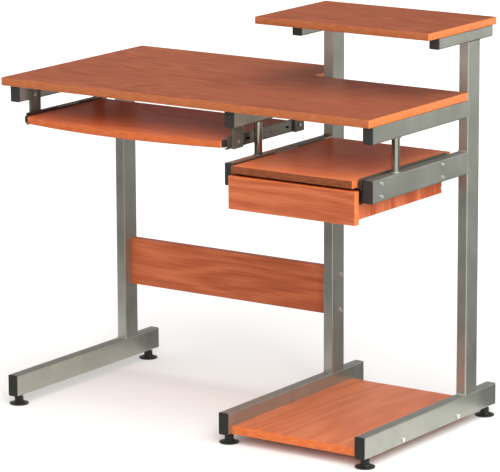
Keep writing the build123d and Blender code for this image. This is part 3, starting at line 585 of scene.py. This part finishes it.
# %% Band round the drawer front
# The outline lies in the X and Z directions, so the height of the band runs along -Y.
FRONT_CORNER = 1.0 * MM
low, high = box_of("drawer_front")
upright_outline = [(low[0], low[2]), (high[0], low[2]), (high[0], high[2]), (low[0], high[2])]
edge_band("drawer_front_band", *rounded_outline(upright_outline, [FRONT_CORNER] * 4), -high[1], -low[1],
          bright_tape, "drawer", axes=((1, 0, 0), (0, 0, 1), (0, -1, 0)))
print("bands: 6")

# %% [markdown]
# ## Plastic stops in the slides
#
# Each moving slide member ends in a black plastic stop, pressed into its channel, that buffers it when it
# runs home. The stop is swept along Y from superellipse sections, which are nearly square with soft corners,
# and its nose draws in a little.

# %% Slide stops
STOP_LENGTH = 11 * MM
STOP_NOSE = 1 * MM
STOP_INSET = 2.2 * MM
STOP_OVERLAP = 0.3 * MM
NOSE_DRAW = 0.22
SQUARENESS = 7.0
ROWS, COLUMNS = 12, 40
slide_body = {"tray": "keyboard_tray", "shelf": "accessory_shelf"}
turn = np.linspace(0, 2 * np.pi, COLUMNS, endpoint=False)
round_x = np.sign(np.cos(turn)) * np.abs(np.cos(turn)) ** (2 / SQUARENESS)
round_z = np.sign(np.sin(turn)) * np.abs(np.sin(turn)) ** (2 / SQUARENESS)
back = np.linspace(0, 1, ROWS)
shrink = 1 - NOSE_DRAW * (1 - np.clip(back * 4, 0, 1)) ** 2
for pair, body in slide_body.items():
    for side in ("left", "right"):
        low, high = box_of(f"{pair}_{side}_inner_slide")
        outer_low, outer_high = box_of(f"{pair}_{side}_outer_slide")
        near, far = min(low[0], outer_low[0]) + STOP_INSET, max(high[0], outer_high[0]) - STOP_INSET
        wide, tall = (far - near) / 2, (high[2] - low[2]) / 2 + STOP_OVERLAP
        run = low[1] - STOP_NOSE + (STOP_NOSE + STOP_LENGTH) * back
        sections = np.stack([
            (near + far) / 2 + wide * shrink[:, None] * round_x[None, :],
            np.broadcast_to(run[:, None], (ROWS, COLUMNS)),
            (low[2] + high[2]) / 2 + tall * shrink[:, None] * round_z[None, :],
        ], axis=-1)
        skin(f"{pair}_{side}_slide_stop", sections, cap_plastic, body)
print("slide stops: 4")

# %% [markdown]
# ## Dimples on the ball cages
#
# The cage that spaces the balls is pressed from thin strip, and each ball sits in a dimple that shows as a
# bright dot. A dimple is half an ellipsoid, longer along the slide. All dimples of one cage pair are worked
# out in one go and joined in one mesh.

# %% Cage dimples
BALL_PITCH = 11 * MM
BALL_ROOM = 3.8 * MM
STRIP_DROP = 1.5 * MM
DIMPLE = (0.8 * MM, 3.0 * MM, 2.6 * MM)
EDGE_OFFSET = 1.0 * MM
RIM_OFFSET = 0.6 * MM
LEVELS, AROUND = 4, 12
ring_turn = np.linspace(0, 2 * np.pi, AROUND, endpoint=False)
rise = np.linspace(0, 1, LEVELS + 1)[:-1] * np.pi / 2
dome = np.stack([np.cos(rise)[:, None] * np.cos(ring_turn), np.cos(rise)[:, None] * np.sin(ring_turn),
                 np.broadcast_to(np.sin(rise)[:, None], (LEVELS, AROUND))], axis=-1).reshape(-1, 3)
dome = np.concatenate([dome, [[0, 0, 1]]])
row, column = np.meshgrid(np.arange(LEVELS - 1), np.arange(AROUND), indexing="ij")
after = (column + 1) % AROUND
dome_quads = np.stack([row * AROUND + column, row * AROUND + after,
                       (row + 1) * AROUND + after, (row + 1) * AROUND + column], axis=-1).reshape(-1, 4)
top_ring = (LEVELS - 1) * AROUND
for pair in ("tray", "shelf", "drawer"):
    low, high = box_of(f"{pair}_ball_cages")
    left_edge = box_of(f"{pair}_left_inner_slide")[1][0]
    right_edge = box_of(f"{pair}_right_inner_slide")[0][0]
    length = high[1] - low[1]
    count = int((length - BALL_ROOM) / BALL_PITCH) + 1
    first_ball = low[1] + (length - (count - 1) * BALL_PITCH) / 2
    strip_top = high[2] - STRIP_DROP
    points, faces = [], []
    for x in (left_edge - EDGE_OFFSET - RIM_OFFSET, right_edge + EDGE_OFFSET + RIM_OFFSET):
        for ball in range(count):
            start = len(points) * len(dome)
            points.append(dome * DIMPLE + [x, first_ball + ball * BALL_PITCH, strip_top])
            faces += (dome_quads + start).tolist()
            faces += [[start + top_ring + k, start + top_ring + (k + 1) % AROUND, start + len(dome) - 1]
                      for k in range(AROUND)]
            faces.append([start + k for k in range(AROUND)][::-1])
    mesh = bpy.data.meshes.new(f"{pair}_cage_dimples")
    mesh.from_pydata(np.concatenate(points).tolist(), [], faces)
    mesh.polygons.foreach_set("use_smooth", np.ones(len(mesh.polygons), bool))
    mesh.set_sharp_from_angle(angle=CREASE)
    mesh.materials.append(zinc_screw)
    dimples = bpy.data.objects.new(f"{pair}_cage_dimples", mesh)
    bpy.context.scene.collection.objects.link(dimples)
    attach(dimples, f"{pair}_ball_cages")
print("dimples in a row:", count)

# %% [markdown]
# ## Studio
#
# The floor is a pale plane that runs far past the view. One wide soft sun from above on the right does most
# of the work, a low one reaches under the desktop, and an even sky fills the rest. Bare and coated metal
# only shows what is round it, so a few dark and grey cards are set out, as a photographer would place them.

# %% Floor and sky
FLOOR_REACH = 40.0
floor_material = new_finish("pale_studio_floor", 0.9, 0.0, "#f4f4f2")[0]


def sheet(name, corners, material):
    """One quad that isn't part of the desk."""
    mesh = bpy.data.meshes.new(name)
    mesh.from_pydata(corners, [], [(0, 1, 2, 3)])
    mesh.materials.append(material)
    plane = bpy.data.objects.new(name, mesh)
    bpy.context.scene.collection.objects.link(plane)
    return plane


sheet("studio_floor", [(-FLOOR_REACH, -FLOOR_REACH, 0), (FLOOR_REACH, -FLOOR_REACH, 0),
                       (FLOOR_REACH, FLOOR_REACH, 0), (-FLOOR_REACH, FLOOR_REACH, 0)], floor_material)
sky = bpy.data.worlds.new("studio_sky")
sky.use_nodes = True
sky.node_tree.nodes["Background"].inputs["Color"].default_value = (1.0, 1.0, 1.0, 1.0)
sky.node_tree.nodes["Background"].inputs["Strength"].default_value = 0.6
bpy.context.scene.world = sky
bpy.context.scene.view_settings.view_transform = "Standard"
print("floor reach", FLOOR_REACH)

# %% Suns
# Each sun is (name, strength, angular size, tilt from overhead, turn from the front to the right). The low
# one is kept out of reflections, where it would glare on the boards.
SUNS = (("soft_sun", 2.3, 70, 30, 62), ("low_sun", 1.7, 30, 68, 40))
for name, energy, spread, tilt, heading in SUNS:
    sun = bpy.data.lights.new(name, "SUN")
    sun.energy = energy
    sun.angle = math.radians(spread)
    sun_object = bpy.data.objects.new(name, sun)
    bpy.context.scene.collection.objects.link(sun_object)
    sun_object.rotation_euler = (math.radians(tilt), 0, math.radians(heading))
    sun_object.visible_glossy = name == "soft_sun"
print("suns:", len(SUNS))

# %% Cards for reflections
# Three cards lie on the floor, because the upright faces of the tubes are seen from above and so mirror the
# floor. The high card stands far back on the left, where the boards' tops mirror it.
FLOOR_CARD_LIFT = 2 * MM


def card(name, brightness, corners):
    """Evenly glowing card that only reflections see."""
    material, _, shader = new_finish(f"{name}_cloth", 1.0, 0.0, "#000000")
    shader.inputs["Specular IOR Level"].default_value = 0.0
    shader.inputs["Emission Color"].default_value = (1.0, 1.0, 0.97, 1.0)
    shader.inputs["Emission Strength"].default_value = brightness
    plane = sheet(name, corners, material)
    for ray in ("camera", "diffuse", "transmission", "volume_scatter", "shadow"):
        setattr(plane, f"visible_{ray}", False)


def floor_card(name, brightness, x_low, x_high, y_low, y_high):
    """Card that lies just over the floor."""
    card(name, brightness, [(x_low, y_low, FLOOR_CARD_LIFT), (x_high, y_low, FLOOR_CARD_LIFT),
                            (x_high, y_high, FLOOR_CARD_LIFT), (x_low, y_high, FLOOR_CARD_LIFT)])


floor_card("front_card", 0.06, -5.0, 1.2, -5.0, -0.3)
floor_card("back_near_card", 0.1, -0.6, 0.9, 0.3, 2.4)
floor_card("back_far_card", 0.3, 0.9, 5.0, 0.3, 5.0)
card("high_card", 0.12, [(-5.0, 2.6, 0.95), (1.2, 2.6, 0.95), (1.2, 2.6, 4.0), (-5.0, 2.6, 4.0)])
print("cards: 4")

# %% [markdown]
# ## Camera
#
# The desk is seen from the right and slightly above, through a long lens from about seven metres, so its
# lines converge only a little. The camera's turn is given as heading, pitch and roll, and its axes are
# worked out from those.

# %% Camera
HEADING = math.radians(34.448)
PITCH = math.radians(12.406)
ROLL = math.radians(-0.25)
PLACE = (4.2051, -6.1251, 2.0392)
SENSOR_WIDTH = 36.0
LENS_LENGTH = 242.1
forward = np.array([-math.sin(HEADING) * math.cos(PITCH), math.cos(HEADING) * math.cos(PITCH),
                    -math.sin(PITCH)])
level = np.array([math.cos(HEADING), math.sin(HEADING), 0.0])
over = np.cross(level, forward)
right = math.cos(ROLL) * level + math.sin(ROLL) * over
up = -math.sin(ROLL) * level + math.cos(ROLL) * over

lens = bpy.data.cameras.new("camera")
lens.sensor_width = SENSOR_WIDTH
lens.lens = LENS_LENGTH
camera = bpy.data.objects.new("camera", lens)
bpy.context.scene.collection.objects.link(camera)
camera.matrix_world = Matrix((
    (right[0], up[0], -forward[0], PLACE[0]),
    (right[1], up[1], -forward[1], PLACE[1]),
    (right[2], up[2], -forward[2], PLACE[2]),
    (0, 0, 0, 1),
))
bpy.context.scene.camera = camera
print("camera at", [round(value, 3) for value in camera.location])
